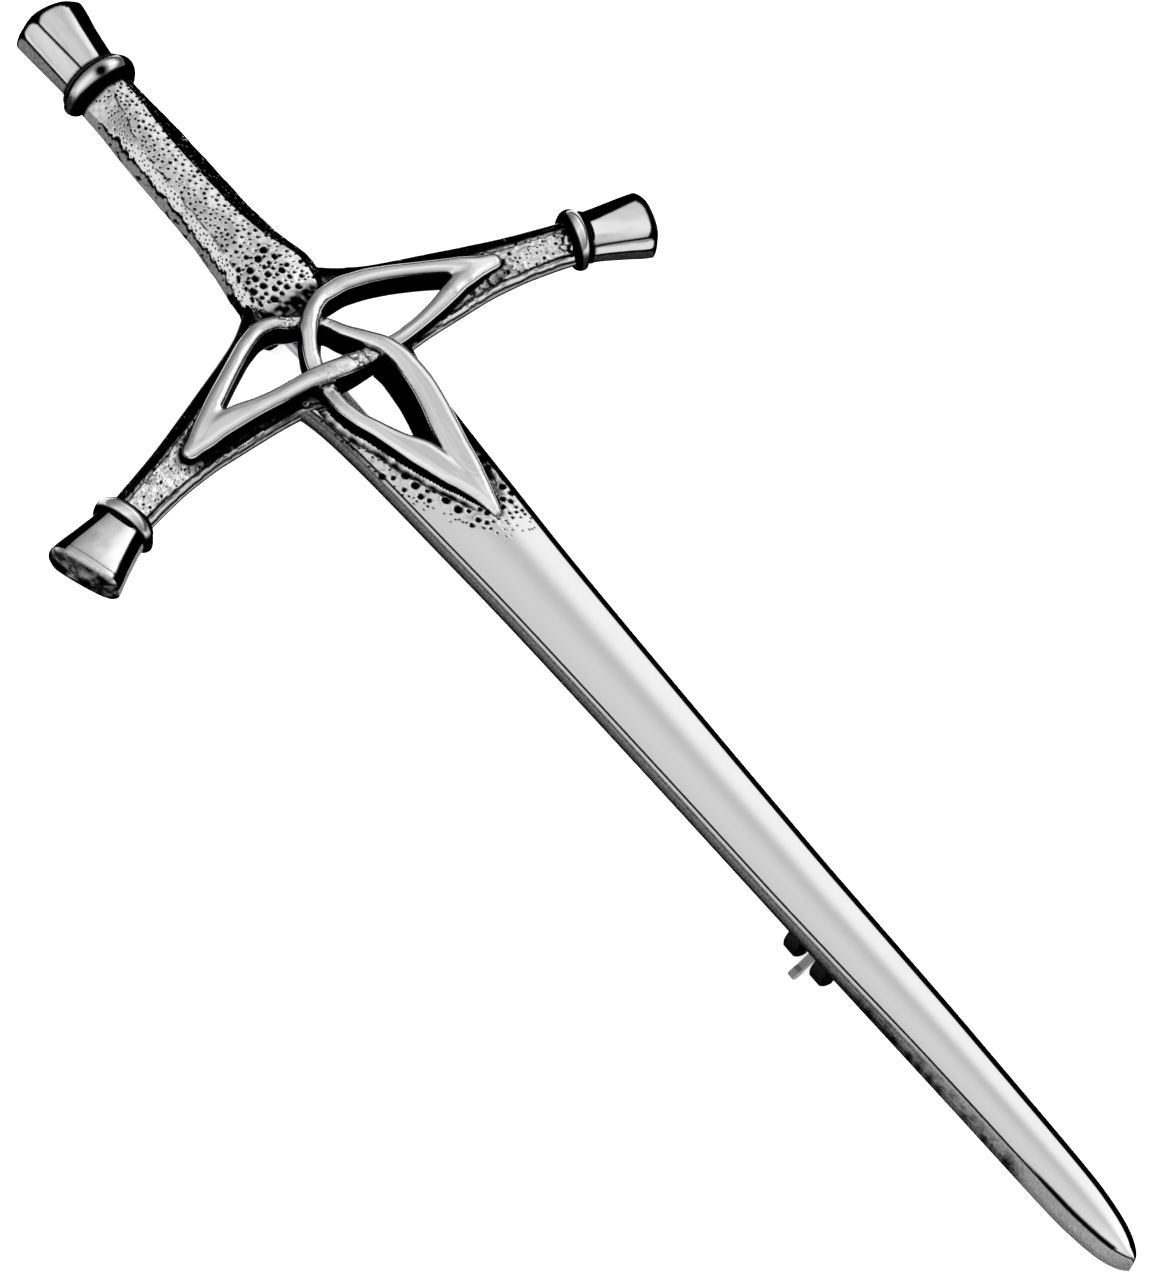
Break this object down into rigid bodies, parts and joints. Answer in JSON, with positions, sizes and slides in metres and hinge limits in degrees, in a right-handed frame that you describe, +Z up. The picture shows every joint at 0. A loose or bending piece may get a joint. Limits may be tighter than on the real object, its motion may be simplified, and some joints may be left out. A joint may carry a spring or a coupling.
{
  "type": "kilt pin",
  "caption": "Cast pewter kilt pin shaped like a cross-hilted sword with a pierced knot in its hilt, a pitted grip, and a steel pin with a rollover clasp on the back.",
  "frame": {"origin": "middle of the bounding box on the table that the pin lies on, face up", "axes": "+X along the sword from the pommel to the blade's tip, +Z up from the table, +Y across the blade"},
  "size_m": [0.1, 0.0444, 0.0067],
  "materials": {
    "pewter": "cast pewter, polished on the raised parts and dark in the recesses",
    "rivet_steel": "nickel-plated",
    "pin_steel": "drawn wire, nickel-plated",
    "clasp_metal": "darkened nickel plate"
  },
  "bodies": {
    "brooch": {"sword": "pewter", "hinge_rivet": "rivet_steel"},
    "pin": {"pin_stem": "pin_steel"},
    "clasp": {"catch_rotor": "clasp_metal"}
  },
  "joints": [
    {"name": "pin_hinge", "type": "hinge", "parent": "brooch", "child": "pin", "pos_m": [-0.0267, 0, 0.0017], "axis": [0, 1, 0], "range_deg": [0, 85]},
    {"name": "clasp_turn", "type": "hinge", "parent": "brooch", "child": "clasp", "pos_m": [0.02425, 0, 0.0017], "axis": [-1, 0, 0], "range_deg": [0, 70]}
  ]
}
